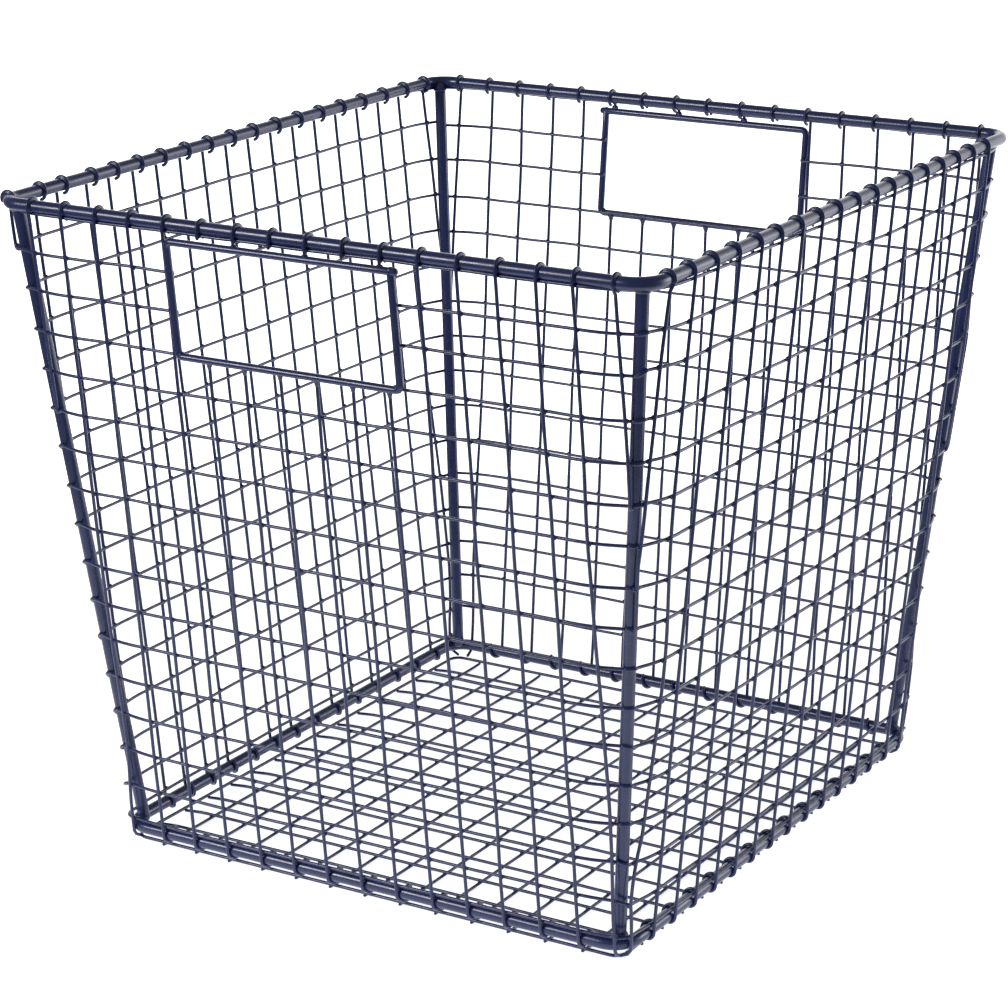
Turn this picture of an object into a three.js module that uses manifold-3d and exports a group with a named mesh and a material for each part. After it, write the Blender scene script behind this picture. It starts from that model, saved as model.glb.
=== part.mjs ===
// Tapered rectangular basket of welded steel wire on a rod frame, with a handle opening in its front
// and its back. Millimetres, +Z up, origin at the middle of the plane the basket stands on.
// The front looks along -Y. Touching pieces are modelled GAP apart, so that each stays its own solid.
import * as THREE from "three";
import { mergeVertices } from "three/addons/utils/BufferGeometryUtils.js";
import Module from "manifold-3d";

const wasm = await Module();
wasm.setup();

// Stock
const ROD_R = 3; // rim, corner posts and base ring
const WIRE_R = 0.9; // mesh wire
const HANDLE_R = 1.7; // frame wire of the handle openings
const GAP = 0.3;

// Cage, measured between rod axes
const PITCH = 19.05; // between uprights
const ROW_PITCH = 18.8; // between horizontal wires, straight down
const RIM_HALF_X = 167;
const RIM_HALF_Y = 183.5;
const BASE_HALF_X = 137.8;
const BASE_HALF_Y = 148.7;
const CAGE_HEIGHT = 309.4;
const RING_BEND_R = 12; // at the corners of the rim and of the base ring
const POST_INSET = 5.9; // from the axes of both rings to the axis of a corner post
const FIRST_ROW_DEPTH = 3.9; // the top wire tucks under the outer edge of the rim
const ROWS = 17;

// How far the wires of a side lie outside the plane of its rods
const UPRIGHT_OUT = ROD_R + WIRE_R + GAP;
const ROW_OUT = UPRIGHT_OUT - 2 * WIRE_R - GAP;
const TIE_OUT = UPRIGHT_OUT - 1.5; // bites 0.3 into the uprights it is welded to
const HANDLE_OUT = ROW_OUT + WIRE_R + GAP + HANDLE_R; // lies on the outside of the horizontal wires

// Handle openings: each spans from one side bar's axis to the other along its face
const OPENINGS = {
  front: { from: -3.75 * PITCH, to: 2.35 * PITCH },
  back: { from: -2.85 * PITCH, to: 3.25 * PITCH },
};
const HANDLE_TOP_DEPTH = 6.9;
const HANDLE_BOTTOM_DEPTH = 61;
const HANDLE_BEND_R = 3.5;

// Floor panel: cross wires lie on the long wires, and the outermost wires form its edge
const LONG_WIRES = 15;
const CROSS_WIRES = 16;
const EDGE_RISE = 0.17; // the edge wires lie this much above the wires that run into them
const FLOOR_HALF_X = 135.9;
const FLOOR_HALF_Y = 145;
const FLOOR_X = -1.2; // the panel sits a little off the middle
const FLOOR_Y = -2;

// Facets around each section
const ROD_SIDES = 8;
const HANDLE_SIDES = 6;
const FLOOR_SIDES = 6;
const WIRE_SIDES = 5;

// Heights
const LONG_WIRE_Z = WIRE_R * Math.cos(Math.PI / FLOOR_SIDES); // a facet of each lies at z = 0
const CROSS_WIRE_Z = LONG_WIRE_Z + 2 * WIRE_R + GAP;
const WRAP_ROOM = 2 * WIRE_R + 0.2; // the real uprights wrap round the base ring above the floor panel
const BASE_Z = CROSS_WIRE_Z + WIRE_R + WRAP_ROOM + ROD_R;
const RIM_Z = BASE_Z + CAGE_HEIGHT;

// Corner posts stand between the two rings, inside their bends
const POST_END_GAP = ROD_R + GAP; // from the axis of a ring to the end of a post
const TIE_OVERHANG = 3; // a tie ends this far past its outermost upright
const END_OVERHANG = 2; // an upright that stops at a horizontal wire ends this far below it
const SAME_POINT = 0.01;

// Route of an upright's head over the rim: depth below the rim axis, and distance out from it
const HOOK_RISE = ROD_R + 1.6;
const HOOK_ROUTE = [
  [-HOOK_RISE, 2.4],
  [-HOOK_RISE, -3.2],
  [0, -6.2],
];

// ---- geometry helpers ----

const vec = (x, y, z) => new THREE.Vector3(x, y, z);

// A route through the given points, with its section square to the bisector of each bend.
class Route extends THREE.Curve {
  constructor(points, closed) {
    super();
    this.points = closed ? [...points, points[0]] : points;
    this.closed = closed;
    this.steps = this.points.length - 1;
  }

  getPointAt(u) {
    return this.points[Math.round(u * this.steps)].clone();
  }

  getTangentAt(u) {
    const last = this.steps;
    const i = Math.round(u * last);
    const before = i > 0 ? i - 1 : this.closed ? last - 1 : 0;
    const after = i < last ? i + 1 : this.closed ? 1 : last;
    const here = this.points[i];
    const coming = here.clone().sub(this.points[before]).normalize();
    const going = this.points[after].clone().sub(here).normalize();
    return coming.add(going).normalize();
  }
}

// Regular polygon with a facet across its own x axis.
function section(radius, sides) {
  const corners = Array.from({ length: sides }, (_, i) => {
    const angle = ((2 * i + 1) * Math.PI) / sides;
    return new THREE.Vector2(radius * Math.cos(angle), radius * Math.sin(angle));
  });
  return new THREE.Shape(corners);
}

function tube(points, radius, sides, closed = false) {
  const route = new Route(points, closed);
  return new THREE.ExtrudeGeometry(section(radius, sides), {
    extrudePath: route,
    steps: route.steps,
    bevelEnabled: false,
  });
}

// A tube that meets itself: its end caps go, and its last ring is joined to its first.
function loop(points, radius, sides) {
  const open = tube(points, radius, sides, true);
  const wall = open.groups[1];
  const xyz = open.getAttribute("position").array.slice(3 * wall.start, 3 * (wall.start + wall.count));
  const position = new THREE.BufferAttribute(xyz, 3);
  const kept = [];
  for (let i = 0; i < position.count; i++) {
    const here = vec().fromBufferAttribute(position, i);
    const twin = kept.find((other) => other.distanceTo(here) < SAME_POINT);
    if (twin) position.setXYZ(i, twin.x, twin.y, twin.z);
    else kept.push(here);
  }
  return mergeVertices(new THREE.BufferGeometry().setAttribute("position", position));
}

function solidOf(geometry) {
  const bare = geometry.clone();
  bare.deleteAttribute("normal");
  bare.deleteAttribute("uv");
  const merged = mergeVertices(bare);
  const vertProperties = merged.getAttribute("position").array;
  const triVerts = new Uint32Array(merged.index.array);
  return new wasm.Manifold(new wasm.Mesh({ numProp: 3, vertProperties, triVerts }));
}

// Wires that cross and are welded: one body.
function welded(geometries) {
  const whole = geometries.map(solidOf).reduce((sum, next) => sum.add(next));
  const mesh = whole.getMesh();
  const made = new THREE.BufferGeometry();
  made.setAttribute("position", new THREE.BufferAttribute(mesh.vertProperties, 3));
  made.setIndex(new THREE.BufferAttribute(mesh.triVerts, 1));
  made.computeVertexNormals();
  return made;
}

// ---- the four sides ----

// along points right as seen from outside the side; out points away from the basket. The uprights stand
// a little off the middle of their side by shift.
const FACES = {
  front: { along: vec(1, 0, 0), out: vec(0, -1, 0), uprights: 17, shift: 2.3 },
  right: { along: vec(0, 1, 0), out: vec(1, 0, 0), uprights: 18, shift: -5 },
  back: { along: vec(-1, 0, 0), out: vec(0, 1, 0), uprights: 17, shift: -1.2 },
  left: { along: vec(0, -1, 0), out: vec(-1, 0, 0), uprights: 18, shift: -3.6 },
};
for (const face of Object.values(FACES)) {
  const acrossX = face.along.x !== 0;
  face.rimOut = acrossX ? RIM_HALF_Y : RIM_HALF_X;
  face.baseOut = acrossX ? BASE_HALF_Y : BASE_HALF_X;
  face.postTop = (acrossX ? RIM_HALF_X : RIM_HALF_Y) - POST_INSET;
  face.postBase = (acrossX ? BASE_HALF_X : BASE_HALF_Y) - POST_INSET;
}

const lerp = THREE.MathUtils.lerp;
const rowDepth = (row) => FIRST_ROW_DEPTH + row * ROW_PITCH;

// The point of a side at s along it, at a depth below the rim axis, out from the plane of its rods.
function onFace(face, s, depth, out) {
  const reach = lerp(face.rimOut, face.baseOut, depth / CAGE_HEIGHT) + out;
  return vec(0, 0, RIM_Z - depth).addScaledVector(face.along, s).addScaledVector(face.out, reach);
}

const postAt = (face, depth) => lerp(face.postTop, face.postBase, depth / CAGE_HEIGHT);
const depthOfPost = (face, s) => (CAGE_HEIGHT * (face.postTop - s)) / (face.postTop - face.postBase);

// The outermost uprights run off the side: they end just below the first horizontal wire past the
// depth where they cross the post.
function uprightEnd(face, s) {
  const crossing = depthOfPost(face, Math.abs(s));
  const row = Math.ceil((crossing - FIRST_ROW_DEPTH) / ROW_PITCH);
  return row < ROWS - 1 ? rowDepth(row) + END_OVERHANG : CAGE_HEIGHT + ROD_R;
}

// An upright whose head hooks over the rim from outside to inside.
function hookedUpright(face, s, end) {
  const route = [[end, UPRIGHT_OUT], [0, UPRIGHT_OUT], ...HOOK_ROUTE];
  return tube(route.map(([depth, out]) => onFace(face, s, depth, out)), WIRE_R, WIRE_SIDES);
}

function plainUpright(face, s, top, end) {
  const route = [onFace(face, s, end, UPRIGHT_OUT), onFace(face, s, top, UPRIGHT_OUT)];
  return tube(route, WIRE_R, WIRE_SIDES);
}

// A stretch of the first or last horizontal wire, which ties a group of uprights together.
function tie(face, row, from, to) {
  const depth = rowDepth(row);
  return tube([onFace(face, from, depth, TIE_OUT), onFace(face, to, depth, TIE_OUT)], WIRE_R, WIRE_SIDES);
}

const uprightPlaces = (face) =>
  Array.from({ length: face.uprights }, (_, i) => (i - (face.uprights - 1) / 2) * PITCH + face.shift);

// Ties run half a pitch past their end uprights to the next group, or just past them at a corner.
function tieEnds(places, nextLeft, nextRight) {
  const toNeighbour = PITCH / 2 - GAP / 2;
  const left = places[0] - (nextLeft ? toNeighbour : TIE_OVERHANG);
  const right = places[places.length - 1] + (nextRight ? toNeighbour : TIE_OVERHANG);
  return [left, right];
}

function hookedComb(face, places, nextLeft, nextRight) {
  const reachBase = places.filter((s) => uprightEnd(face, s) > CAGE_HEIGHT);
  return welded([
    ...places.map((s) => hookedUpright(face, s, uprightEnd(face, s))),
    tie(face, 0, ...tieEnds(places, nextLeft, nextRight)),
    tie(face, ROWS - 1, ...tieEnds(reachBase, nextLeft, nextRight)),
  ]);
}

function lowerComb(face, places) {
  const top = HANDLE_BOTTOM_DEPTH + HANDLE_R + GAP;
  return welded([
    ...places.map((s) => plainUpright(face, s, top, CAGE_HEIGHT + ROD_R)),
    tie(face, ROWS - 1, ...tieEnds(places, true, true)),
  ]);
}

function stubComb(face, places) {
  const end = HANDLE_TOP_DEPTH - HANDLE_R - GAP;
  return welded([
    ...places.map((s) => hookedUpright(face, s, end)),
    tie(face, 0, ...tieEnds(places, true, true)),
  ]);
}

// ---- rods ----

// Points of an arc in plan about a centre, from the direction of one side's outward normal to the next's.
function cornerArc(centre, radius, first, second, steps) {
  return Array.from({ length: steps + 1 }, (_, i) => {
    const angle = (i / steps) * (Math.PI / 2);
    return centre
      .clone()
      .addScaledVector(first.out, radius * Math.cos(angle))
      .addScaledVector(second.out, radius * Math.sin(angle));
  });
}

// Each side with the side that follows it, going anticlockwise seen from above.
const ring = Object.values(FACES);
const corners = ring.map((face, i) => [face, ring[(i + 1) % ring.length]]);

// A closed rod in the plane at a depth below the rim axis.
function rodRing(depth) {
  const bendSteps = 4;
  const reach = (face) => lerp(face.rimOut, face.baseOut, depth / CAGE_HEIGHT);
  const points = corners.flatMap(([face, next]) => {
    const centre = vec(0, 0, RIM_Z - depth)
      .addScaledVector(face.out, reach(face) - RING_BEND_R)
      .addScaledVector(next.out, reach(next) - RING_BEND_R);
    return cornerArc(centre, RING_BEND_R, face, next, bendSteps);
  });
  return loop(points, ROD_R, ROD_SIDES);
}

function postPoint(face, next, depth) {
  return vec(0, 0, RIM_Z - depth)
    .addScaledVector(face.out, postAt(next, depth))
    .addScaledVector(next.out, postAt(face, depth));
}

function cornerPost(face, next) {
  const ends = [postPoint(face, next, CAGE_HEIGHT - POST_END_GAP), postPoint(face, next, POST_END_GAP)];
  return tube(ends, ROD_R, ROD_SIDES);
}

// ---- horizontal wires ----

const rowCorner = (face, next, depth) =>
  cornerArc(postPoint(face, next, depth), POST_INSET + ROW_OUT, face, next, 2);

function fullRow(depth) {
  const points = corners.flatMap(([face, next]) => rowCorner(face, next, depth));
  return loop(points, WIRE_R, WIRE_SIDES);
}

// Half of a row that the handle openings cut: it ends against a side bar of each opening.
function halfRow(depth, start, startAt, middle, end, endAt) {
  const points = [
    onFace(start, startAt, depth, ROW_OUT),
    ...rowCorner(start, middle, depth),
    ...rowCorner(middle, end, depth),
    onFace(end, endAt, depth, ROW_OUT),
  ];
  return tube(points, WIRE_R, WIRE_SIDES);
}

// ---- handle frames ----

// One wire bent into a rounded rectangle.
function handleFrame(face, opening) {
  const bendSteps = 2;
  const left = opening.from;
  const right = opening.to;
  const turns = [
    [right, HANDLE_TOP_DEPTH, -1, 1],
    [left, HANDLE_TOP_DEPTH, 1, 1],
    [left, HANDLE_BOTTOM_DEPTH, 1, -1],
    [right, HANDLE_BOTTOM_DEPTH, -1, -1],
  ];
  const points = turns.flatMap(([s, depth, inS, inDepth], corner) =>
    Array.from({ length: bendSteps + 1 }, (_, i) => {
      const angle = ((corner + i / bendSteps) * Math.PI) / 2;
      return onFace(
        face,
        s + HANDLE_BEND_R * (inS + Math.cos(angle)),
        depth + HANDLE_BEND_R * (inDepth - Math.sin(angle)),
        HANDLE_OUT,
      );
    }),
  );
  return loop(points, HANDLE_R, HANDLE_SIDES);
}

// ---- floor panel ----

function floorWire(from, to) {
  const shift = vec(FLOOR_X, FLOOR_Y, 0);
  return tube([from.add(shift), to.add(shift)], WIRE_R, FLOOR_SIDES);
}

function spread(count, half) {
  return Array.from({ length: count }, (_, i) => lerp(-half, half, i / (count - 1)));
}

// Long wires run front to back, joined by the floor's front and back edge wires.
function floorLongWires() {
  const z = LONG_WIRE_Z;
  const end = FLOOR_HALF_X + WIRE_R;
  const edges = [-FLOOR_HALF_Y, FLOOR_HALF_Y].map((y) =>
    floorWire(vec(-end, y, z + EDGE_RISE), vec(end, y, z + EDGE_RISE)),
  );
  const wires = spread(LONG_WIRES, FLOOR_HALF_X).map((x) =>
    floorWire(vec(x, -FLOOR_HALF_Y, z), vec(x, FLOOR_HALF_Y, z)),
  );
  return welded([...edges, ...wires]);
}

// Cross wires lie on the long wires, joined by the floor's left and right edge wires.
function floorCrossWires() {
  const z = CROSS_WIRE_Z;
  const end = FLOOR_HALF_Y + WIRE_R;
  const edges = [-FLOOR_HALF_X, FLOOR_HALF_X].map((x) =>
    floorWire(vec(x, -end, z + EDGE_RISE), vec(x, end, z + EDGE_RISE)),
  );
  const wires = spread(CROSS_WIRES, FLOOR_HALF_Y).map((y) =>
    floorWire(vec(-FLOOR_HALF_X, y, z), vec(FLOOR_HALF_X, y, z)),
  );
  return welded([...edges, ...wires]);
}

// ---- assembly ----

const powderCoat = () => new THREE.MeshStandardMaterial({ color: 0x2c3154, roughness: 0.42, metalness: 0.1 });

const basket = new THREE.Group();

function add(name, geometry) {
  const mesh = new THREE.Mesh(geometry, powderCoat());
  mesh.name = name;
  basket.add(mesh);
}

add("rim_ring", rodRing(0));
add("base_ring", rodRing(CAGE_HEIGHT));
const cornerNames = ["front_right", "back_right", "back_left", "front_left"];
corners.forEach(([face, next], i) => add("corner_post_" + cornerNames[i], cornerPost(face, next)));

for (const name of ["front", "back"]) {
  const face = FACES[name];
  const opening = OPENINGS[name];
  const places = uprightPlaces(face);
  const leftOf = places.filter((s) => s < opening.from);
  const within = places.filter((s) => s > opening.from && s < opening.to);
  const rightOf = places.filter((s) => s > opening.to);
  add(name + "_uprights_left", hookedComb(face, leftOf, false, true));
  add(name + "_uprights_middle", lowerComb(face, within));
  add(name + "_uprights_right", hookedComb(face, rightOf, true, false));
  add(name + "_rim_stubs", stubComb(face, within));
  add(name + "_handle_frame", handleFrame(face, opening));
}
for (const name of ["right", "left"]) {
  const face = FACES[name];
  add(name + "_uprights", hookedComb(face, uprightPlaces(face), false, false));
}

// Rows are counted down from the rim. The first and the last are the ties of the uprights.
const barClearance = HANDLE_R + GAP;
for (let row = 1; row < ROWS - 1; row++) {
  const depth = rowDepth(row);
  const name = "row_wire_" + String(row).padStart(2, "0");
  if (depth > HANDLE_BOTTOM_DEPTH - 2 * HANDLE_R) {
    add(name, fullRow(depth));
  } else {
    const { front, right, back, left } = FACES;
    const frontEnds = [OPENINGS.front.from - barClearance, OPENINGS.front.to + barClearance];
    const backEnds = [OPENINGS.back.from - barClearance, OPENINGS.back.to + barClearance];
    add(name + "_right", halfRow(depth, front, frontEnds[1], right, back, backEnds[0]));
    add(name + "_left", halfRow(depth, back, backEnds[1], left, front, frontEnds[0]));
  }
}

add("floor_long_wires", floorLongWires());
add("floor_cross_wires", floorCrossWires());

export default basket;
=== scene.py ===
"""A welded-wire storage basket on a rod frame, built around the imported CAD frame. Metres, +Z up.

The front looks along -Y. A point of a side is given as s along it, a depth below the rim's axis, and how
far it lies out from the plane through the axes of that side's rods.
"""
import math
import random

import bpy
import numpy as np
from mathutils import Matrix, Vector


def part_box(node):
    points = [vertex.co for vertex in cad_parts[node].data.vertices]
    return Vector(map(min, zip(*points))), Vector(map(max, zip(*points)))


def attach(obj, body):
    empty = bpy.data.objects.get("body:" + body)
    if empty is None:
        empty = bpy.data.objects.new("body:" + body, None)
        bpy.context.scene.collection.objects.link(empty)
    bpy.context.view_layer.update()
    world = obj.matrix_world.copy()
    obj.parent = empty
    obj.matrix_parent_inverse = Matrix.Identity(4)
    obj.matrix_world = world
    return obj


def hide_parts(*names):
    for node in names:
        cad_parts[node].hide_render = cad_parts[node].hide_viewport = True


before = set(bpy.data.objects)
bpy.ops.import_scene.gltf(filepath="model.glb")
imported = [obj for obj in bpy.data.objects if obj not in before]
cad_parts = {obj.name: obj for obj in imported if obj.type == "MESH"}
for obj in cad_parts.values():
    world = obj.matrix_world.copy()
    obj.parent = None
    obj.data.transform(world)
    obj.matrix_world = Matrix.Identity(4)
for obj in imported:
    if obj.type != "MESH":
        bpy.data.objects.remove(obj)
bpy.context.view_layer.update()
rng = random.Random(7)

# ---- driving dimensions ----

MM = 0.001
ROD_R = 3.0 * MM
WIRE_R = 0.82 * MM
ROW_R = 0.76 * MM
HANDLE_R = 1.75 * MM
PITCH = 19.05 * MM
TOP_ROW_DEPTH = 3 * MM
ROWS = 17
RING_BEND_R = 12 * MM
COAT = 0.12 * MM  # how far welded pieces sink into each other

HUG_R = ROD_R + WIRE_R - COAT  # from a rod's axis to the axis of a wire laid round it
ROW_HUG_R = ROD_R + ROW_R - COAT
UPRIGHT_OUT = HUG_R
LAYER = ROW_R + WIRE_R - COAT  # from the axis of a horizontal wire to the axis of an upright on it
ROW_OUT = UPRIGHT_OUT - LAYER
FLARE = 0.9 * PITCH  # over this length a horizontal wire leaves its side's plane to pass a post
LOW_PASS = 0.7  # low down, horizontal wires pass a post this share of the way out to their side's plane
LOW_START = 0.84  # the move outwards begins at this share of the cage's height
LOW_LENGTH = 0.14  # and takes this share of it
BEND_START = 1.5 * MM  # a horizontal wire's straight stretch stops this far from a post
WIRE_WANDER = 0.28 * MM
ROW_WANDER = 0.22 * MM
FLOOR_WANDER = 0.3 * MM

HANDLE_TOP_DEPTH = 6.9 * MM
HANDLE_BOTTOM_DEPTH = 59.8 * MM
HANDLE_BEND_R = 2.6 * MM
HANDLE_OUT = ROW_OUT + ROW_R + HANDLE_R - 2 * COAT

LONG_WIRES = 15
CROSS_WIRES = 16
SKIRT_BEND_R = 5.5 * MM

ROD_SIDES = 32
WIRE_SIDES = 12

# ---- places, from the frame ----


def middle(node):
    low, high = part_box(node)
    return (low + high) / 2


rim_low, rim_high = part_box("rim_ring")
rim_thick = (rim_high.z - rim_low.z) / 2
RIM_Z = middle("rim_ring").z
RIM_X = rim_high.x - rim_thick
RIM_Y = rim_high.y - rim_thick
base_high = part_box("base_ring")[1]
BASE_Z = middle("base_ring").z
BASE_X = base_high.x - rim_thick
BASE_Y = base_high.y - rim_thick
CAGE = RIM_Z - BASE_Z
floor_low, floor_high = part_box("floor_cross_wires")
FLOOR_X = middle("floor_cross_wires").x
FLOOR_Y = middle("floor_cross_wires").y
LONG_WIRE_Z = ROW_R
CROSS_WIRE_Z = LONG_WIRE_Z + 2 * ROW_R - COAT
EDGE_WIRE_Z = 2.7 * MM
EDGE_CENTRE = Vector((0.5 * MM, -2.4 * MM, 0))  # the floor's edge wire sits off the middle
EDGE_INSET_X = 1.7 * MM
EDGE_INSET_Y = 0.4 * MM
CROSS_SHIFT = 0.8 * MM  # the cross wires lie this much nearer the front
CROSS_INSET = 1.6 * MM
FLOOR_RISE = 0.8 * MM
POST_INSET = 5.9 * MM
LAST_ROW_DEPTH = CAGE - 4.4 * MM
UP = Vector((0, 0, 1))


def smooth(t):
    t = min(max(t, 0.0), 1.0)
    return t * t * (3 - 2 * t)


class Side:
    """One of the four sides. along points right as seen from outside, out away from the basket."""

    def __init__(self, name, along, out, ring, half, uprights, spans, bow, droop, rows):
        self.name = name
        self.along = Vector(along)
        self.out = Vector(out)
        self.rim_out, self.base_out = ring
        self.post_top = half[0] - POST_INSET
        self.post_base = half[1] - POST_INSET
        self.count = uprights
        self.spans = spans  # middle and half width of the uprights, in pitches, at the rim and at the base
        self.bow = bow  # how far the middle uprights stand along from an even spacing, in pitches
        self.droop = droop  # how far the horizontal wires hang down in the middle of the side
        self.first_row, self.row_pitch = rows

    def reach(self, depth):
        return self.rim_out + (self.base_out - self.rim_out) * depth / CAGE

    def at(self, s, depth, out):
        up = UP * (RIM_Z - depth)
        return self.along * s + self.out * (self.reach(depth) + out) + up

    def post(self, depth):
        return self.post_top + (self.post_base - self.post_top) * depth / CAGE

    def place(self, index, depth):
        """Where an upright is along the side at a depth."""
        u = 2 * index / (self.count - 1) - 1
        (top, wide), (low, low_wide) = self.spans
        t = depth / CAGE
        evenly = top + (low - top) * t + (wide + (low_wide - wide) * t) * u + self.bow * (1 - u * u)
        return PITCH * (evenly + STRAY.get((self.name, index), 0))

    def row_depth(self, row):
        if row == 0:
            return TOP_ROW_DEPTH
        if row == ROWS - 1:
            return LAST_ROW_DEPTH + LOW_ROW.get(self.name, 0)
        return self.first_row + row * self.row_pitch + UNEVEN.get((self.name, row), 0)

    def hang(self, s, depth):
        """How far a horizontal wire hangs below its row at s."""
        return self.droop * max(1 - (s / self.post(depth)) ** 2, 0)

    def at_post(self, depth):
        """How far out a horizontal wire passes a post: close by it, but further out low down."""
        hug = ROW_HUG_R - POST_INSET
        return hug + LOW_PASS * (ROW_OUT - hug) * smooth((depth / CAGE - LOW_START) / LOW_LENGTH)

    def row_out(self, s, depth):
        """A horizontal wire lies flat along the side and closes in on the posts at its ends."""
        near = self.at_post(depth)
        return near + (ROW_OUT - near) * smooth((self.post(depth) - abs(s)) / FLARE)

    def mesh_at(self, s, depth, layer):
        """A point of the mesh, layer outside the horizontal wires; past a post it turns the corner."""
        post = self.post(depth)
        past = abs(s) - post
        if past <= 0:
            return self.at(s, depth, self.row_out(s, depth) + layer)
        radius = POST_INSET + self.at_post(depth) + layer
        turn = min(past / radius, math.pi / 2)
        end = math.copysign(1, s)
        axis = self.at(end * post, depth, -POST_INSET)
        return axis + self.out * (radius * math.cos(turn)) + self.along * (end * radius * math.sin(turn))


WIDE = (RIM_X, BASE_X)
DEEP = (RIM_Y, BASE_Y)
FRONT = Side("front", (1, 0, 0), (0, -1, 0), DEEP, WIDE, 17, ((0.18, 7.93), (0.09, 8.04)), -0.03, 0,
             (2.8 * MM, 18.94 * MM))
RIGHT = Side("right", (0, 1, 0), (1, 0, 0), WIDE, DEEP, 18, ((-0.52, 8.46), (-0.46, 8.41)), 0.31,
             1.3 * MM, (2.0 * MM, 19.03 * MM))
BACK = Side("back", (-1, 0, 0), (0, 1, 0), DEEP, WIDE, 17, ((-0.01, 8.0), (-0.28, 8.02)), -0.02, 0,
            (4.7 * MM, 18.93 * MM))
LEFT = Side("left", (0, -1, 0), (-1, 0, 0), WIDE, DEEP, 18, ((-0.41, 8.53), (-0.46, 8.39)), 0.28,
            -0.7 * MM, (2.5 * MM, 19.2 * MM))
SIDES = [FRONT, RIGHT, BACK, LEFT]
CORNERS = [(side, SIDES[(i + 1) % 4]) for i, side in enumerate(SIDES)]

# Horizontal wires that lie higher or lower than an even spacing
UNEVEN = {
    ("front", 2): -0.9 * MM,
    ("front", 6): -0.6 * MM,
    ("front", 11): -0.8 * MM,
    ("right", 2): -2.6 * MM,
    ("right", 14): 1.2 * MM,
    ("right", 15): 1.6 * MM,
    ("back", 1): -0.5 * MM,
    ("back", 2): -1.0 * MM,
    ("back", 15): -0.7 * MM,
    ("left", 1): -0.6 * MM,
}
# Uprights that stand to one side of an even spacing, in pitches
STRAY = {
    ("front", 15): -0.08,
    ("front", 16): -0.12,
    ("right", 0): 0.18,
    ("left", 15): -0.1,
    ("left", 16): 0.1,
}
# Uprights that swerve away from the post for part of their way down
SWERVE = {("right", 1): 0.34 * PITCH}
SWERVE_OUT = (5, 5)  # where a swerve begins and how long it takes to build up, in pitches
SWERVE_BACK = (13.3, 2)
# How far the uprights wrap round the base ring, in degrees from straight out
WRAPS = {"front": 272, "right": 282, "back": 240, "left": 232}
# Sides where the last horizontal wire lies against the base ring's outside instead of just above it
LOW_ROW = {"back": 3.6 * MM}
# Uprights near the posts: the row that each is bent round, or "skirt" for the floor's edge wire
ENDS = {
    "front": {0: 5, 1: "skirt", 15: "skirt", 16: 5},
    "right": {0: 8, 1: "skirt", 16: "skirt", 17: 8},
    "back": {0: 8, 1: "skirt", 15: "skirt", 16: 6},
    "left": {0: 9, 1: "skirt", 16: "skirt", 17: 10},
}
# Handle openings: the uprights that their side bars stand beside, and where the bars stand
OPENINGS = {
    "front": {"first": 5, "last": 10, "left": -3.69 * PITCH, "right": 2.44 * PITCH, "drop": 0},
    "back": {"first": 6, "last": 11, "left": -2.89 * PITCH, "right": 3.28 * PITCH, "drop": 2.1 * MM},
}
PAST_POST = 3.3 * MM  # how far round a post's corner an upright may stand


# ---- materials ----


def powder_coat(name, light, dark, rough, grain):
    """Navy satin powder coat: faint cloudiness in colour and gloss, and a fine orange-peel surface."""
    material = bpy.data.materials.new(name)
    material.use_nodes = True
    nodes = material.node_tree.nodes
    links = material.node_tree.links
    shader = nodes["Principled BSDF"]
    place = nodes.new("ShaderNodeTexCoord")

    cloud = nodes.new("ShaderNodeTexNoise")
    cloud.inputs["Scale"].default_value = 38
    cloud.inputs["Detail"].default_value = 5
    cloud.inputs["Roughness"].default_value = 0.6
    links.new(place.outputs["Object"], cloud.inputs["Vector"])
    tint = nodes.new("ShaderNodeValToRGB")
    tint.color_ramp.elements[0].position = 0.32
    tint.color_ramp.elements[0].color = (*dark, 1)
    tint.color_ramp.elements[1].position = 0.7
    tint.color_ramp.elements[1].color = (*light, 1)
    links.new(cloud.outputs["Fac"], tint.inputs["Fac"])
    links.new(tint.outputs["Color"], shader.inputs["Base Color"])

    gloss = nodes.new("ShaderNodeTexNoise")
    gloss.inputs["Scale"].default_value = 160
    gloss.inputs["Detail"].default_value = 4
    links.new(place.outputs["Object"], gloss.inputs["Vector"])
    spread = nodes.new("ShaderNodeMapRange")
    spread.inputs["From Min"].default_value = 0.3
    spread.inputs["From Max"].default_value = 0.7
    spread.inputs["To Min"].default_value = rough - 0.05
    spread.inputs["To Max"].default_value = rough + 0.07
    links.new(gloss.outputs["Fac"], spread.inputs["Value"])
    links.new(spread.outputs["Result"], shader.inputs["Roughness"])

    peel = nodes.new("ShaderNodeTexNoise")
    peel.inputs["Scale"].default_value = grain
    peel.inputs["Detail"].default_value = 2
    links.new(place.outputs["Object"], peel.inputs["Vector"])
    bump = nodes.new("ShaderNodeBump")
    bump.inputs["Strength"].default_value = 0.18
    bump.inputs["Distance"].default_value = 0.05 * MM
    links.new(peel.outputs["Fac"], bump.inputs["Height"])
    links.new(bump.outputs["Normal"], shader.inputs["Normal"])

    shader.inputs["Specular IOR Level"].default_value = 0.5
    shader.inputs["Coat Weight"].default_value = 0.12
    shader.inputs["Coat Roughness"].default_value = 0.22
    return material


NAVY = (0.017, 0.028, 0.118)
DARK_NAVY = (0.010, 0.019, 0.084)
ROD_COAT = powder_coat("navy_coat_on_rod", NAVY, DARK_NAVY, 0.27, 900)
WIRE_COAT = powder_coat("navy_coat_on_wire", NAVY, DARK_NAVY, 0.30, 1300)


# ---- wire stock ----


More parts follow.
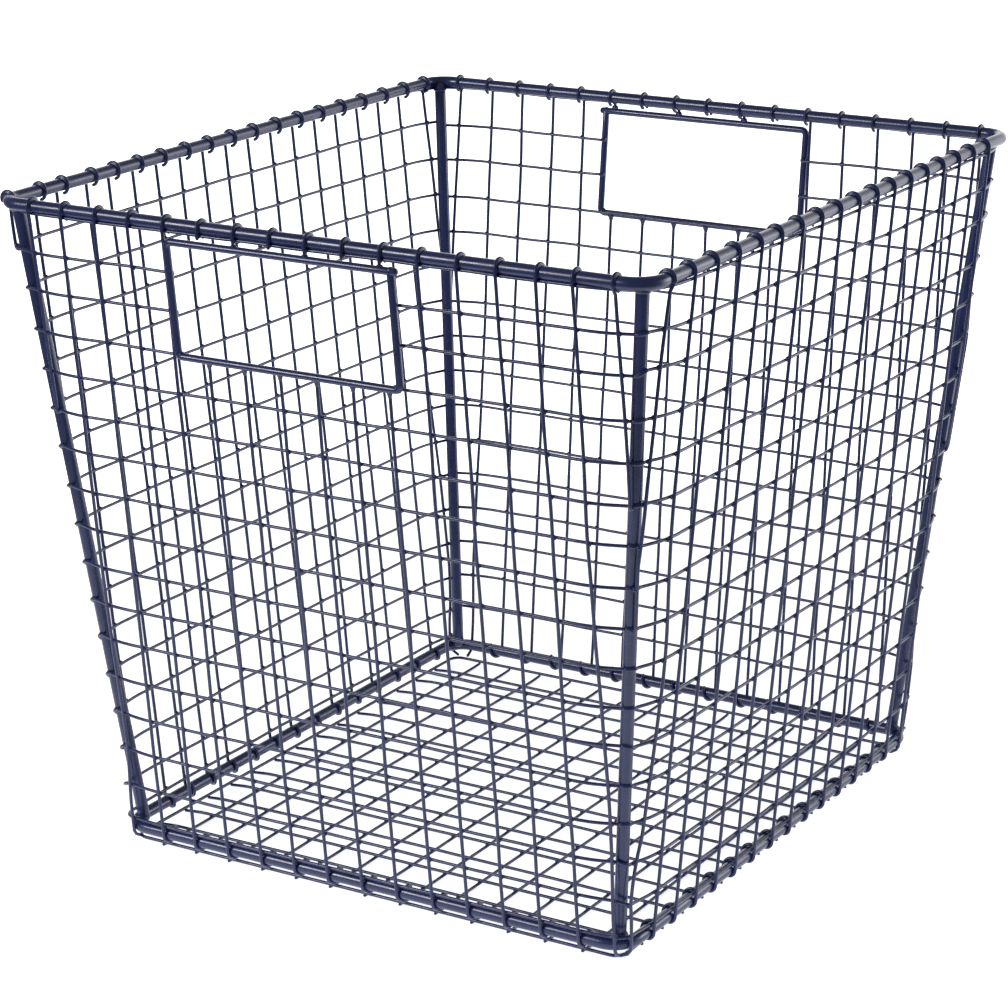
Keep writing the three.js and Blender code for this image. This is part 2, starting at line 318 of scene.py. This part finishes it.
def curve_through(points, steps):
    """Catmull-Rom points through the given ones, with the given number of steps between each pair."""
    p = np.array([tuple(point) for point in points])
    padded = np.vstack([2 * p[0] - p[1], p, 2 * p[-1] - p[-2]])
    found = []
    for i in range(1, len(padded) - 2):
        a, b, c, d = padded[i - 1:i + 3]
        for k in range(steps):
            t = k / steps
            square = (2 * a - 5 * b + 4 * c - d) * t**2
            cube = (3 * b - a - 3 * c + d) * t**3
            found.append((2 * b + (c - a) * t + square + cube) / 2)
    found.append(p[-1])
    return np.array(found)


class Stock:
    """Bars and weld beads gathered into one mesh."""

    def __init__(self):
        self.points = []
        self.faces = []
        self.count = 0

    def add(self, points, faces):
        self.points.append(points)
        self.faces.extend([tuple(int(i) + self.count for i in face) for face in faces])
        self.count += len(points)

    def rings(self, path, closed, sides, radii):
        """Rings of points round a path, carried along it without twist."""
        n = len(path)
        if closed:
            heading = np.roll(path, -1, axis=0) - np.roll(path, 1, axis=0)
        else:
            heading = np.gradient(path, axis=0)
        heading /= np.linalg.norm(heading, axis=1)[:, None]
        first = np.cross(heading[0], (0.31, 0.42, 0.85))
        carried = [first / np.linalg.norm(first)]
        for i in range(1, n):
            normal = carried[-1] - heading[i] * np.dot(carried[-1], heading[i])
            carried.append(normal / np.linalg.norm(normal))
        carried = np.array(carried)
        across = np.cross(heading, carried)
        slip = 0.0
        if closed:
            last = carried[-1] - heading[0] * np.dot(carried[-1], heading[0])
            slip = math.atan2(np.dot(last, across[0]), np.dot(last, carried[0]))
        turn = np.arange(sides) * 2 * math.pi / sides
        angle = turn[None, :] - slip * (np.arange(n) / n)[:, None]
        ring = np.cos(angle)[..., None] * carried[:, None, :] + np.sin(angle)[..., None] * across[:, None, :]
        return path[:, None, :] + radii[:, None, None] * ring

    def bar(self, path, radius, sides=WIRE_SIDES, closed=False):
        """A round bar along a path. Its ends are rounded off unless it closes on itself."""
        path = np.array([tuple(point) for point in path])
        radii = np.full(len(path), radius) if np.isscalar(radius) else np.array(radius)
        if not closed:
            path, radii = self.round_ends(path, radii)
        rings = self.rings(path, closed, sides, radii)
        n = len(path)
        faces = []
        for i in range(n if closed else n - 1):
            here, after = i * sides, ((i + 1) % n) * sides
            for k in range(sides):
                side = (k + 1) % sides
                faces.append((here + k, here + side, after + side, after + k))
        points = rings.reshape(-1, 3)
        if not closed:
            faces.append(tuple(range(sides - 1, -1, -1)))
            faces.append(tuple(range((n - 1) * sides, n * sides)))
        self.add(points, faces)

    def round_ends(self, path, radii):
        def tip(end, inner, radius):
            away = end - inner
            away /= np.linalg.norm(away)
            angles = np.radians([35, 62, 82])
            return [end + away * radius * 0.8 * math.sin(a) for a in angles], radius * np.cos(angles)

        head, head_radii = tip(path[0], path[1], radii[0])
        tail, tail_radii = tip(path[-1], path[-2], radii[-1])
        path = np.vstack([head[::-1], path, tail])
        radii = np.concatenate([head_radii[::-1], radii, tail_radii])
        return path, radii

    def bead(self, centre, axes, belts=5, sides=10):
        """A lump of weld under the coat: an ellipsoid with the given half-axes."""
        axes = np.array([tuple(axis) for axis in axes])
        centre = np.array(tuple(centre))
        points = [centre + axes[2]]
        for i in range(1, belts + 1):
            tilt = math.pi * i / (belts + 1)
            for k in range(sides):
                turn = 2 * math.pi * k / sides
                flat = math.cos(turn) * axes[0] + math.sin(turn) * axes[1]
                points.append(centre + math.cos(tilt) * axes[2] + math.sin(tilt) * flat)
        points.append(centre - axes[2])
        faces = []
        flip = np.dot(np.cross(axes[0], axes[1]), axes[2]) < 0
        last = len(points) - 1
        for k in range(sides):
            side = (k + 1) % sides
            faces.append((0, 1 + k, 1 + side))
            low = 1 + (belts - 1) * sides
            faces.append((last, low + side, low + k))
            for i in range(belts - 1):
                here, below = 1 + i * sides, 1 + (i + 1) * sides
                faces.append((here + k, below + k, below + side, here + side))
        if flip:
            faces = [face[::-1] for face in faces]
        self.add(np.array(points), faces)

    def piece(self, name, slot, material, *nodes):
        mesh = bpy.data.meshes.new(name)
        mesh.from_pydata(np.vstack(self.points).tolist(), [], self.faces)
        mesh.polygons.foreach_set("use_smooth", [True] * len(mesh.polygons))
        mesh.materials.append(material)
        mesh.update()
        made = bpy.data.objects.new(name, mesh)
        bpy.context.scene.collection.objects.link(made)
        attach(made, "root")
        if nodes:
            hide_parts(*nodes)


# ---- rods ----


def corner_axis(side, after, depth, inset=POST_INSET):
    """The upright line at the corner of two sides, set in from both."""
    up = UP * (RIM_Z - depth)
    return side.out * (side.reach(depth) - inset) + after.out * (after.reach(depth) - inset) + up


def arc(centre, first, second, radius, steps):
    """Points of a quarter turn from one direction to another."""
    angles = [i / steps * math.pi / 2 for i in range(steps + 1)]
    return [centre + first * (radius * math.cos(a)) + second * (radius * math.sin(a)) for a in angles]


def make_ring(name, node, depth):
    """A rod bent round into a closed ring."""
    stock = Stock()
    route = []
    for side, after in CORNERS:
        bend = arc(corner_axis(side, after, depth, RING_BEND_R), side.out, after.out, RING_BEND_R, 12)
        route += bend
        start = bend[-1]
        following = after.along * (2 * (after.post(depth) + POST_INSET - RING_BEND_R))
        route += [start + following * t for t in (0.04, 0.25, 0.5, 0.75, 0.96)]
    stock.bar(route, ROD_R, ROD_SIDES, closed=True)
    stock.piece(name, "coated_rod", ROD_COAT, node)


def make_posts():
    """Each post stands between the two rings, inside their bends, and is welded to both."""
    for side, after in CORNERS:
        stock = Stock()
        depths = [2.2 * MM, 8 * MM] + [CAGE * t for t in (0.15, 0.4, 0.7, 0.95)] + [CAGE - 2.2 * MM]
        stock.bar([corner_axis(side, after, d) for d in depths], ROD_R, ROD_SIDES)
        diagonal = (side.out + after.out).normalized()
        across = diagonal.cross(UP)
        for depth in (3.4 * MM, CAGE - 3.4 * MM):
            weld = corner_axis(side, after, depth, POST_INSET - 0.4 * MM)
            stock.bead(weld, (diagonal * 3.9 * MM, across * 3.7 * MM, UP * 1.7 * MM), 7, 20)
        first, second = (side, after) if side in (FRONT, BACK) else (after, side)
        corner = f"{first.name}_{second.name}"
        stock.piece(f"corner_upright_{corner}", "coated_rod", ROD_COAT, f"corner_post_{corner}")


# ---- uprights ----


class Wobble:
    """A small smooth wander along a wire."""

    def __init__(self, size, wave):
        self.waves = [(size * rng.uniform(0.4, 1) / (k + 1), rng.uniform(0, 6.283), (k + 1) * 6.283 / wave)
                      for k in range(3)]

    def __call__(self, t):
        return sum(size * math.sin(phase + rate * t) for size, phase, rate in self.waves)


def upright_s(side, index, depth, wander):
    """Where along its side an upright is at a depth. Near a post it stays on the post's outside."""
    limit = side.post(depth) + PAST_POST
    s = side.place(index, depth) + wander(depth)
    if (side.name, index) in SWERVE:
        down = depth / PITCH
        away = smooth((down - SWERVE_OUT[0]) / SWERVE_OUT[1])
        back = 1 - smooth((down - SWERVE_BACK[0]) / SWERVE_BACK[1])
        s += SWERVE[side.name, index] * away * back
    return min(max(s, -limit), limit)


def rim_hook(side, s):
    """Axis points of a wire bent over the rim, from its tip under the rod to the outside."""
    centre = side.at(s, 0, 0)
    slant = math.atan2(side.rim_out - side.base_out, CAGE)
    points = []
    start, end = math.radians(rng.uniform(246, 262)), -slant
    steps = 20
    for i in range(steps + 1):
        turn = start + (end - start) * i / steps
        loose = 0.5 * MM * smooth(1 - i / 5)
        radius = HUG_R + loose
        points.append(centre + side.out * (radius * math.cos(turn)) + UP * (radius * math.sin(turn)))
    return points


def base_hook(side, s):
    """Axis points of a wire wrapped under and round a base rod, ending on top beside itself."""
    centre = side.at(s, CAGE, 0)
    slant = math.atan2(side.rim_out - side.base_out, CAGE)
    shift = rng.uniform(2.9, 3.7) * MM
    sweep = math.radians(WRAPS[side.name] + rng.uniform(-9, 9))
    points = []
    steps = 24
    for i in range(steps + 1):
        turn = -slant - sweep * i / steps
        loose = 0.3 * MM * smooth((i - 16) / 8)
        radius = HUG_R + loose
        along = side.along * (shift * smooth(i / steps * 1.15 - 0.1))
        points.append(centre + along + side.out * (radius * math.cos(turn)) + UP * (radius * math.sin(turn)))
    return points


def row_hook(side, s, depth):
    """Axis points of a wire end bent inwards under and behind a horizontal wire."""
    centre = side.mesh_at(s, depth, 0)
    outward = (side.mesh_at(s, depth, LAYER) - centre).normalized()
    points = []
    for i in range(9):
        turn = -math.radians(10 + i * 18)
        points.append(centre + outward * (LAYER * math.cos(turn)) + UP * (LAYER * math.sin(turn)))
    return points


def crossing(stock, side, s, depth):
    """The weld where an upright crosses a horizontal wire."""
    centre = side.mesh_at(s, depth, LAYER / 2)
    outward = (side.mesh_at(s, depth, LAYER) - side.mesh_at(s, depth, 0)).normalized()
    along = UP.cross(outward)
    size = rng.uniform(1.25, 1.5) * MM
    stock.bead(centre, (along * size, UP * size, outward * 1.15 * MM), 4, 8)


def upright_body(stock, side, index, top, bottom, wander, head, tail):
    """The straight part of an upright with its welds, between the given head and tail points."""
    depths = [top + (bottom - top) * i / 40 for i in range(41)]
    middle_part = [side.mesh_at(upright_s(side, index, d, wander), d, LAYER) for d in depths]
    stock.bar(head + middle_part + tail, WIRE_R)
    for row in range(ROWS):
        depth = side.row_depth(row)
        if top < depth < bottom + MM:
            s = upright_s(side, index, depth, wander)
            crossing(stock, side, s, depth + side.hang(s, depth))


def hooked_upright(stock, side, index):
    wander = Wobble(WIRE_WANDER, 0.16)
    ending = ENDS[side.name].get(index, "base")
    top = 5 * MM
    s_top = upright_s(side, index, 0, wander)
    s_base = upright_s(side, index, CAGE, wander)
    head = rim_hook(side, s_top)
    if ending == "base":
        bottom = CAGE - 2.5 * MM
        tail = base_hook(side, s_base)
    elif ending == "skirt":
        bottom = CAGE + 2 * MM
        tail = [side.mesh_at(s_base, CAGE + 4.2 * MM, LAYER - 1.1 * MM),
                side.mesh_at(s_base, CAGE + 6 * MM, -2.5 * MM)]
    else:
        bottom = side.row_depth(ending) - 1 * MM
        tail = row_hook(side, upright_s(side, index, bottom, wander), side.row_depth(ending))
    coat_over_rim(stock, side, s_top)
    upright_body(stock, side, index, top, bottom, wander, head, tail)


def coat_over_rim(stock, side, s):
    """The coat that fills the angle between a hooked wire and the rim."""
    centre = side.at(s, 0, 0)
    turns = [math.radians(-20 + 235 * i / 16) for i in range(17)]
    radius = ROD_R + 0.05 * MM
    path = [centre + side.out * (radius * math.cos(t)) + UP * (radius * math.sin(t)) for t in turns]
    stock.bar(path, 1.12 * MM, 10)


def make_uprights():
    for side in SIDES:
        opening = OPENINGS.get(side.name)
        count = side.count
        if not opening:
            stock = Stock()
            for index in range(count):
                hooked_upright(stock, side, index)
            if side is LEFT:
                corner_hairpin(stock, side)
            stock.piece(f"{side.name}_wires", "coated_wire", WIRE_COAT, f"{side.name}_uprights")
            continue
        first, last = opening["first"], opening["last"]
        groups = {"left": range(0, first), "right": range(last + 1, count)}
        for group, indices in groups.items():
            stock = Stock()
            for index in indices:
                hooked_upright(stock, side, index)
            node = f"{side.name}_uprights_{group}"
            stock.piece(f"{side.name}_wires_{group}", "coated_wire", WIRE_COAT, node)
        stock = Stock()
        stubs = Stock()
        for index in range(first, last + 1):
            lower_upright(stock, side, index)
            stub(stubs, side, index, (index - first) % 2 == 1)
        stock.piece(f"{side.name}_wires_middle", "coated_wire", WIRE_COAT, f"{side.name}_uprights_middle")
        stubs.piece(f"{side.name}_rim_stub_wires", "coated_wire", WIRE_COAT, f"{side.name}_rim_stubs")


def flare(stock, point, direction, length, wide):
    """The coat's fillet where a wire's end meets a bar: a short cone."""
    path = [point + direction * (length * t) for t in (-0.15, 0, 0.25, 0.55, 1)]
    stock.bar(path, [wide, wide * 0.93, wide * 0.74, wide * 0.6, WIRE_R * 0.98], 12)


def lower_upright(stock, side, index):
    """An upright below a handle opening: it ends on the opening's bottom bar."""
    wander = Wobble(WIRE_WANDER, 0.16)
    top = HANDLE_BOTTOM_DEPTH + OPENINGS[side.name]["drop"] + 1.4 * MM
    tail = base_hook(side, upright_s(side, index, CAGE, wander))
    upright_body(stock, side, index, top, CAGE - 2.5 * MM, wander, [], tail)
    s = upright_s(side, index, top, wander)
    flare(stock, side.mesh_at(s, top - 0.4 * MM, LAYER), -UP, 3 * MM, 2 * MM)


def stub(stock, side, index, long):
    """A wire hooked over the rim above a handle opening; every other one reaches the top bar."""
    s = side.place(index, 0) + rng.uniform(-0.3, 0.3) * MM
    head = rim_hook(side, s)
    short_end = TOP_ROW_DEPTH + rng.uniform(1.0, 1.6) * MM
    end = HANDLE_TOP_DEPTH - HANDLE_R * 0.6 if long else short_end
    depths = [1.5 * MM + (end - 1.5 * MM) * t for t in (0.3, 0.6, 1)]
    stock.bar(head + [side.at(s, d, UPRIGHT_OUT) for d in depths], WIRE_R)
    coat_over_rim(stock, side, s)
    crossing(stock, side, s, TOP_ROW_DEPTH)
    if long:
        stock.bead(side.at(s, end, UPRIGHT_OUT), (side.along * 1.9 * MM, UP * 1.4 * MM, side.out * 1.3 * MM))


def corner_hairpin(stock, side):
    """A short wire hooked over the rim at its bend and bent round the first free horizontal wire."""
    s = side.post_top - 0.7 * MM
    depth = side.row_depth(1)
    body = [side.mesh_at(s, depth * t, LAYER) for t in (0.15, 0.3, 0.5, 0.7, 0.9)]
    stock.bar(rim_hook(side, s) + body + row_hook(side, s, depth), WIRE_R)
    coat_over_rim(stock, side, s)
    for row in (0, 1):
        crossing(stock, side, s, side.row_depth(row))


# ---- horizontal wires ----


def corner_stretch(side, after, row, stock):
    """A horizontal wire's quarter turn round a post, and the coat that joins it to the post."""
    points = []
    coat = []
    steps = 8
    for i in range(steps + 1):
        t = i / steps
        depth = side.row_depth(row) + (after.row_depth(row) - side.row_depth(row)) * smooth(t)
        axis = corner_axis(side, after, depth)
        turn = t * math.pi / 2
        outward = side.out * math.cos(turn) + after.out * math.sin(turn)
        points.append(axis + outward * (POST_INSET + side.at_post(depth)))
        coat.append(axis + outward * (ROD_R - 0.1 * MM))
    if row < ROWS - 3:
        stock.bar(coat, [1.0 * MM] + [1.25 * MM] * (steps - 1) + [1.0 * MM], 10)
    return points


def side_stretch(side, row, start, end, sag):
    """A horizontal wire along a side, between two places."""
    depth = side.row_depth(row)
    count = max(2, round((end - start) / (PITCH / 2)))
    points = []
    for i in range(count + 1):
        s = start + (end - start) * i / count
        fade = min(1.0, (side.post(depth) - abs(s)) / (2 * PITCH))
        lower = depth + max(fade, 0) * sag(s) + side.hang(s, depth)
        points.append(side.at(s, lower, side.row_out(s, depth)))
    return points


def full_row(row):
    stock = Stock()
    route = []
    for side, after in CORNERS:
        sag = Wobble(ROW_WANDER, 0.11)
        reach = side.post(side.row_depth(row))
        start = -reach + BEND_START
        route += side_stretch(side, row, start, reach - BEND_START, sag)
        route += corner_stretch(side, after, row, stock)
    route = curve_through(route + route[:1], 3)[:-1]
    stock.bar(route, ROW_R, WIRE_SIDES, closed=True)
    nodes = [f"row_wire_{row:02d}"] if 0 < row < ROWS - 1 else []
    stock.piece(f"hoop_wire_{row:02d}", "coated_wire", WIRE_COAT, *nodes)


def half_row(row, before, middle_side, after, name):
    """Half of a row that the handle openings cut: it ends on a side bar of each opening."""
    stock = Stock()
    sag = Wobble(ROW_WANDER, 0.11)
    start = OPENINGS[before.name]["right"]
    end = OPENINGS[after.name]["left"]
    depth = before.row_depth(row)
    reach = middle_side.post(middle_side.row_depth(row)) - BEND_START
    route = side_stretch(before, row, start, before.post(depth) - BEND_START, sag)
    route += corner_stretch(before, middle_side, row, stock)
    route += side_stretch(middle_side, row, -reach, reach, sag)
    route += corner_stretch(middle_side, after, row, stock)
    route += side_stretch(after, row, -after.post(depth) + BEND_START, end, sag)
    stock.bar(curve_through(route, 3), ROW_R)
    for side, s in ((before, start), (after, end)):
        centre = side.at(s, side.row_depth(row), (ROW_OUT + HANDLE_OUT) / 2)
        stock.bead(centre, (side.along * 1.6 * MM, UP * 1.7 * MM, side.out * 1.6 * MM))
    stock.piece(f"hoop_wire_{row:02d}_{name}", "coated_wire", WIRE_COAT, f"row_wire_{row:02d}_{name}")


def make_rows():
    for row in range(ROWS):
        if row in (1, 2):
            half_row(row, FRONT, RIGHT, BACK, "right")
            half_row(row, BACK, LEFT, FRONT, "left")
        else:
            full_row(row)


# ---- handle openings ----


def make_handle_frame(side):
    """One thick wire bent round the opening; its end laps past the start at the top right."""
    opening = OPENINGS[side.name]
    left, right = opening["left"], opening["right"]
    bottom, bend = HANDLE_BOTTOM_DEPTH + opening["drop"], HANDLE_BEND_R
    top = HANDLE_TOP_DEPTH + 0.6 * opening["drop"]
    stock = Stock()

    def point(s, depth):
        return side.at(s, depth, HANDLE_OUT)

    def turn(s, depth, from_angle):
        angles = [math.radians(from_angle + 90 * i / 7) for i in range(8)]
        return [point(s + bend * math.cos(a), depth - bend * math.sin(a)) for a in angles]

    route = [point(right + 2.2 * MM, top)]
    route += [point(right + (left + bend - right) * t, top) for t in (0.1, 0.3, 0.5, 0.7, 0.9)]
    route += turn(left + bend, top + bend, 90)
    route += [point(left, top + bend + (bottom - top - 2 * bend) * t) for t in (0.2, 0.5, 0.8)]
    route += turn(left + bend, bottom - bend, 180)
    route += [point(left + bend + (right - left - 2 * bend) * t, bottom) for t in (0.1, 0.3, 0.5, 0.7, 0.9)]
    route += turn(right - bend, bottom - bend, 270)
    route += [point(right, bottom - bend + (top - bottom + bend) * t) for t in (0.2, 0.5, 0.8, 1)]
    stock.bar(route, HANDLE_R, 20)
    blob = 2.1 * MM
    low = bottom - 0.6 * MM
    for s, depth in ((right, top), (left + 1.2 * MM, low), (right - 1.2 * MM, low)):
        stock.bead(point(s, depth), (side.along * blob, UP * blob, side.out * 1.7 * MM), 6, 14)
    stock.piece(f"{side.name}_handle_wire", "coated_rod", ROD_COAT, f"{side.name}_handle_frame")


# ---- floor ----


def spread(count, half):
    return [half * (2 * i / (count - 1) - 1) for i in range(count)]


def floor_wire(stock, start, end, lean, rise):
    """A floor wire from edge to edge. It rises a little in the middle and turns up to the edge wire."""
    route = []
    steps = 30
    across = UP.cross((end - start).normalized())
    for i in range(steps + 1):
        t = i / steps
        point = start.lerp(end, t)
        reach = (point - start).length
        near_edge = smooth(1 - min(reach, (end - point).length) / (0.6 * PITCH))
        lift = rise * 4 * t * (1 - t) + (EDGE_WIRE_Z - WIRE_R - ROW_R + COAT - point.z) * near_edge
        route.append(point + across * lean(reach) * (1 - near_edge) + UP * lift)
    stock.bar(curve_through(route, 2), ROW_R)


def make_floor():
    """Long wires front to back, cross wires on them, and an edge wire that closes over both."""
    half_x = (floor_high.x - floor_low.x) / 2 - WIRE_R
    half_y = (floor_high.y - floor_low.y) / 2 - WIRE_R
    edge_x, edge_y = half_x - EDGE_INSET_X, half_y - EDGE_INSET_Y
    xs = [x + FLOOR_X for x in spread(LONG_WIRES, half_x)[1:-1]]
    ys = [y + FLOOR_Y - CROSS_SHIFT for y in spread(CROSS_WIRES, half_y - CROSS_INSET)[1:-1]]
    long_wires = Stock()
    for x in xs:
        bow = FLOOR_RISE * max(1 - ((x - FLOOR_X) / half_x) ** 2, 0)
        start = Vector((x, EDGE_CENTRE.y - edge_y, LONG_WIRE_Z))
        end = Vector((x, EDGE_CENTRE.y + edge_y, LONG_WIRE_Z))
        floor_wire(long_wires, start, end, Wobble(FLOOR_WANDER, 0.2), bow)
    long_wires.piece("floor_wires_long", "coated_wire", WIRE_COAT, "floor_long_wires")
    cross_wires = Stock()
    for y in ys:
        bow = FLOOR_RISE * max(1 - ((y - FLOOR_Y) / half_y) ** 2, 0)
        start = Vector((EDGE_CENTRE.x - edge_x, y, CROSS_WIRE_Z))
        end = Vector((EDGE_CENTRE.x + edge_x, y, CROSS_WIRE_Z))
        floor_wire(cross_wires, start, end, Wobble(FLOOR_WANDER, 0.2), bow)
        for x in xs:
            across = (x - EDGE_CENTRE.x) / edge_x
            lift = bow * (1 - across ** 2)
            centre = Vector((x, y, (LONG_WIRE_Z + CROSS_WIRE_Z) / 2 + lift))
            size = rng.uniform(1.1, 1.3) * MM
            cross_wires.bead(centre, (Vector((size, 0, 0)), Vector((0, size, 0)), UP * 1.0 * MM), 4, 8)
    cross_wires.piece("floor_wires_cross", "coated_wire", WIRE_COAT, "floor_cross_wires")
    edge = Stock()
    route = []
    for side, after in CORNERS:
        half, half_after = (edge_y, edge_x) if side in (FRONT, BACK) else (edge_x, edge_y)
        centre = side.out * (half - SKIRT_BEND_R) + after.out * (half_after - SKIRT_BEND_R) + UP * EDGE_WIRE_Z
        route += [point + EDGE_CENTRE for point in arc(centre, side.out, after.out, SKIRT_BEND_R, 8)]
    smoothed = []
    for i, point in enumerate(route):
        smoothed.append(point)
        following = route[(i + 1) % len(route)]
        if (following - point).length > PITCH:
            smoothed += [point.lerp(following, k / 12) for k in range(1, 12)]
    edge.bar(smoothed, WIRE_R, WIRE_SIDES, closed=True)
    edge.piece("floor_edge_wire", "coated_wire", WIRE_COAT, "floor_long_wires", "floor_cross_wires")


# ---- scene ----

TABLE_R = 0.55
TABLE_GAP = 0.05 * MM
DIM = 0.22  # the world's strength in front and overhead
BRIGHT = 2.0  # and behind the object


def studio_world():
    """A studio that is white behind the object and to its right, and dim in front and overhead."""
    world = bpy.data.worlds.new("studio")
    bpy.context.scene.world = world
    world.use_nodes = True
    nodes = world.node_tree.nodes
    links = world.node_tree.links
    sky = nodes["Background"]
    sky.inputs["Color"].default_value = (1, 1, 1, 1)
    heading = nodes.new("ShaderNodeTexCoord").outputs["Generated"]

    facing = nodes.new("ShaderNodeVectorMath")
    facing.operation = "DOT_PRODUCT"
    facing.inputs[1].default_value = (0.06, 0.995, 0.05)
    links.new(heading, facing.inputs[0])
    behind = nodes.new("ShaderNodeMapRange")
    behind.interpolation_type = "SMOOTHSTEP"
    behind.inputs["From Min"].default_value = 0.3
    behind.inputs["From Max"].default_value = 0.58
    links.new(facing.outputs["Value"], behind.inputs["Value"])

    split = nodes.new("ShaderNodeSeparateXYZ")
    links.new(heading, split.inputs["Vector"])
    low = nodes.new("ShaderNodeMapRange")
    low.interpolation_type = "SMOOTHSTEP"
    low.inputs["From Min"].default_value = 0.52
    low.inputs["From Max"].default_value = 0.3
    links.new(split.outputs["Z"], low.inputs["Value"])

    both = nodes.new("ShaderNodeMath")
    both.operation = "MULTIPLY"
    links.new(behind.outputs["Result"], both.inputs[0])
    links.new(low.outputs["Result"], both.inputs[1])
    glow = nodes.new("ShaderNodeMapRange")
    glow.inputs["To Min"].default_value = DIM
    glow.inputs["To Max"].default_value = BRIGHT
    links.new(both.outputs["Value"], glow.inputs["Value"])
    links.new(glow.outputs["Result"], sky.inputs["Strength"])


def make_studio():
    """A round white table under the object, and two soft boxes."""
    steps = 64
    turns = [2 * math.pi * i / steps for i in range(steps)]
    floor_mesh = bpy.data.meshes.new("floor")
    rim = [(TABLE_R * math.cos(t), TABLE_R * math.sin(t), 0) for t in turns]
    floor_mesh.from_pydata(rim, [], [tuple(range(steps))])
    floor = bpy.data.objects.new("floor", floor_mesh)
    bpy.context.scene.collection.objects.link(floor)
    floor.location.z = -TABLE_GAP
    paper = bpy.data.materials.new("studio_paper")
    paper.use_nodes = True
    shader = paper.node_tree.nodes["Principled BSDF"]
    shader.inputs["Base Color"].default_value = (0.93, 0.93, 0.93, 1)
    shader.inputs["Roughness"].default_value = 0.9
    shader.inputs["Specular IOR Level"].default_value = 0.1
    shader.inputs["Emission Color"].default_value = (1, 1, 1, 1)
    shader.inputs["Emission Strength"].default_value = 0.8
    floor_mesh.materials.append(paper)

    studio_world()
    centre = Vector((0, 0, 0.16))
    boxes = [
        ("key", (-1.15, -1.7, 1.05), 0.55, 22),
        ("right", (1.5, 1.5, 0.55), 0.8, 7),
    ]
    for name, place, width, power in boxes:
        light = bpy.data.lights.new(name, "AREA")
        light.size = width
        light.energy = power
        lamp = bpy.data.objects.new(name, light)
        bpy.context.scene.collection.objects.link(lamp)
        lamp.location = place
        lamp.rotation_euler = (centre - Vector(place)).to_track_quat("-Z", "Y").to_euler()


def make_camera():
    """Seen from the front right and from above, a little tilted."""
    turned, raised, rolled = math.radians(31.497), math.radians(17.394), math.radians(-0.482)
    flat = math.cos(raised)
    ahead = Vector((-math.sin(turned) * flat, math.cos(turned) * flat, -math.sin(raised)))
    level = Vector((math.cos(turned), math.sin(turned), 0))
    upward = level.cross(ahead)
    right = level * math.cos(rolled) + upward * math.sin(rolled)
    top = upward * math.cos(rolled) - level * math.sin(rolled)
    place = Vector((0.75038, -1.24705, 0.28983 + RIM_Z))
    camera = bpy.data.objects.new("camera", bpy.data.cameras.new("camera"))
    bpy.context.scene.collection.objects.link(camera)
    camera.matrix_world = Matrix((
        (right.x, top.x, -ahead.x, place.x),
        (right.y, top.y, -ahead.y, place.y),
        (right.z, top.z, -ahead.z, place.z),
        (0, 0, 0, 1),
    ))
    camera.data.sensor_width = 36
    camera.data.lens = 111.74
    camera.data.clip_start = 0.05
    bpy.context.scene.camera = camera
    bpy.context.scene.view_settings.view_transform = "Standard"


make_ring("rim", "rim_ring", 0)
make_ring("base", "base_ring", CAGE)
make_posts()
make_uprights()
make_rows()
make_handle_frame(FRONT)
make_handle_frame(BACK)
make_floor()
make_studio()
make_camera()
